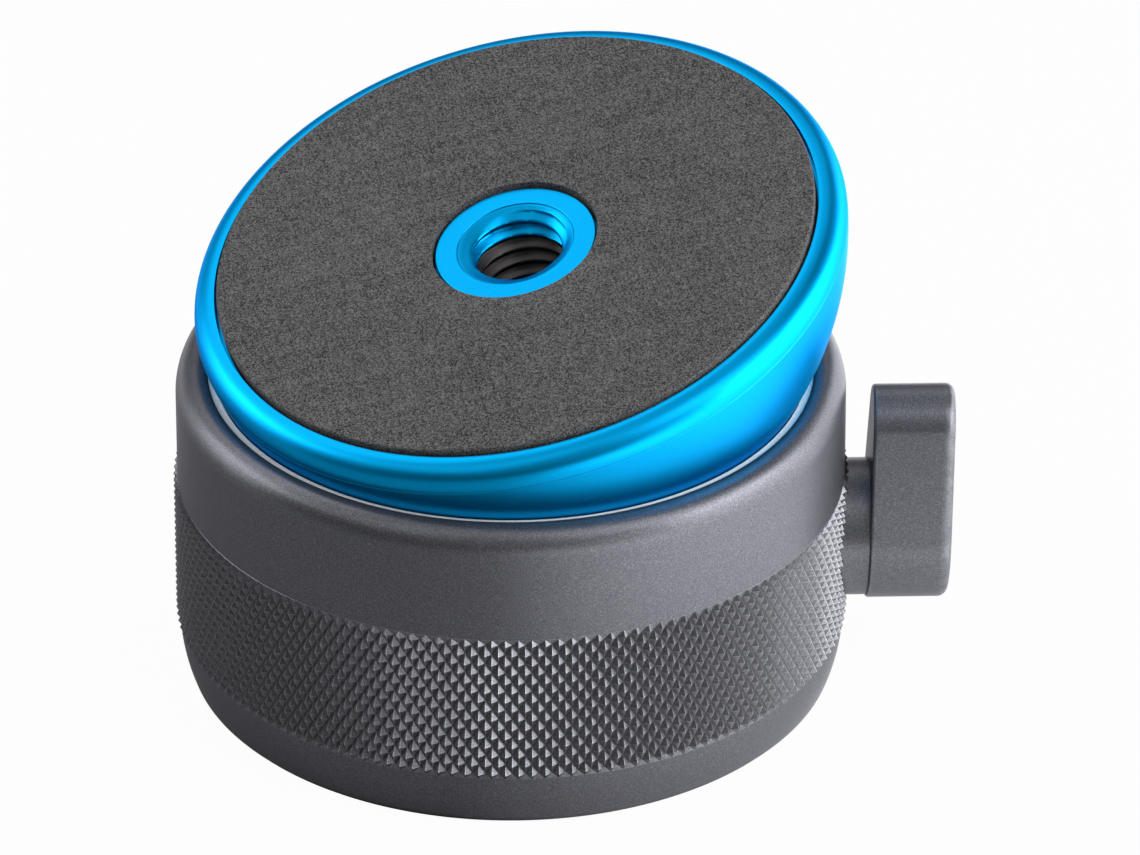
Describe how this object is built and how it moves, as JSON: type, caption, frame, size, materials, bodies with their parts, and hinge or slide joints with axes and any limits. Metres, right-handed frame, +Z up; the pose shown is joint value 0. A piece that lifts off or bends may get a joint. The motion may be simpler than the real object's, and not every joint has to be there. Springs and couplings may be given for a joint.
{
  "type": "tripod leveling head",
  "caption": "Compact tripod leveling head: a hollow tilting ball with a flat padded top and central camera screw socket, clamped in a knurled round cup by a short side lever.",
  "frame": {"origin": "on the body's axis at the underside, the centre of the mouth of the tripod screw socket", "axes": "+Z up along the body's axis, +X along the clamp lever's shaft towards the lever, +Y away from the picture's viewer"},
  "size_m": [0.0703, 0.0608, 0.0505],
  "materials": {
    "blue_anodised": "satin bright blue anodised, turned",
    "blasted_grey": "bead blasted, anodised graphite grey",
    "pad": "dark technical pad with a fine fibrous face",
    "light_polymer": "pale low-friction bearing polymer",
    "dark_polymer": "dark bearing polymer",
    "bright_steel": "turned steel",
    "screw_steel": "plated countersunk screw",
    "black_steel": "blackened steel",
    "bronze": "bearing bronze"
  },
  "bodies": {
    "root": {"housing": "blasted_grey", "seat_ring": "light_polymer", "base_plate": "blasted_grey", "base_bush": "bright_steel", "base_screw_1": "screw_steel", "base_screw_2": "screw_steel", "base_screw_3": "screw_steel", "base_screw_4": "screw_steel", "retaining_screw": "black_steel", "shaft_bush": "bronze", "release_spring": "bright_steel"},
    "lever": {"clamp_lever": "blasted_grey", "eccentric_shaft": "bright_steel", "lever_grub_screw": "black_steel", "thrust_washer": "dark_polymer"},
    "draw": {"draw_rod": "bright_steel", "draw_head": "bright_steel", "draw_nut": "black_steel"},
    "heading": {"drag_washer": "bronze"},
    "tilt": {"ball_liner": "dark_polymer"},
    "ball": {"top_plate": "blue_anodised", "ball_shell": "blue_anodised", "top_pad": "pad", "thread_insert": "black_steel", "plate_screw_1": "screw_steel", "plate_screw_2": "screw_steel", "plate_screw_3": "screw_steel"}
  },
  "joints": [
    {"name": "tilt_heading", "type": "hinge", "parent": "root", "child": "heading", "pos_m": [0, 0, 0.0443], "axis": [0, 0, 1], "continuous": true},
    {"name": "ball_tilt", "type": "hinge", "parent": "heading", "child": "tilt", "pos_m": [0, 0, 0.0443], "axis": [0.6508, -0.7593, 0], "range_deg": [-32.8, 0]},
    {"name": "ball_pan", "type": "hinge", "parent": "tilt", "child": "ball", "pos_m": [0, 0, 0.0443], "axis": [-0.2144, -0.1837, 0.9593], "continuous": true},
    {"name": "lever_turn", "type": "hinge", "parent": "root", "child": "lever", "pos_m": [0, 0, 0.0127], "axis": [1, 0, 0], "range_deg": [0, 100]},
    {"name": "draw_slide", "type": "slide", "parent": "root", "child": "draw", "axis": [0, 0, 1], "range_m": [0, 0.0006], "deforming": ["release_spring"]}
  ],
  "couplings": [
    {"joint": "lever_turn", "follows": "draw_slide", "rad_per_m": 2908.8}
  ]
}
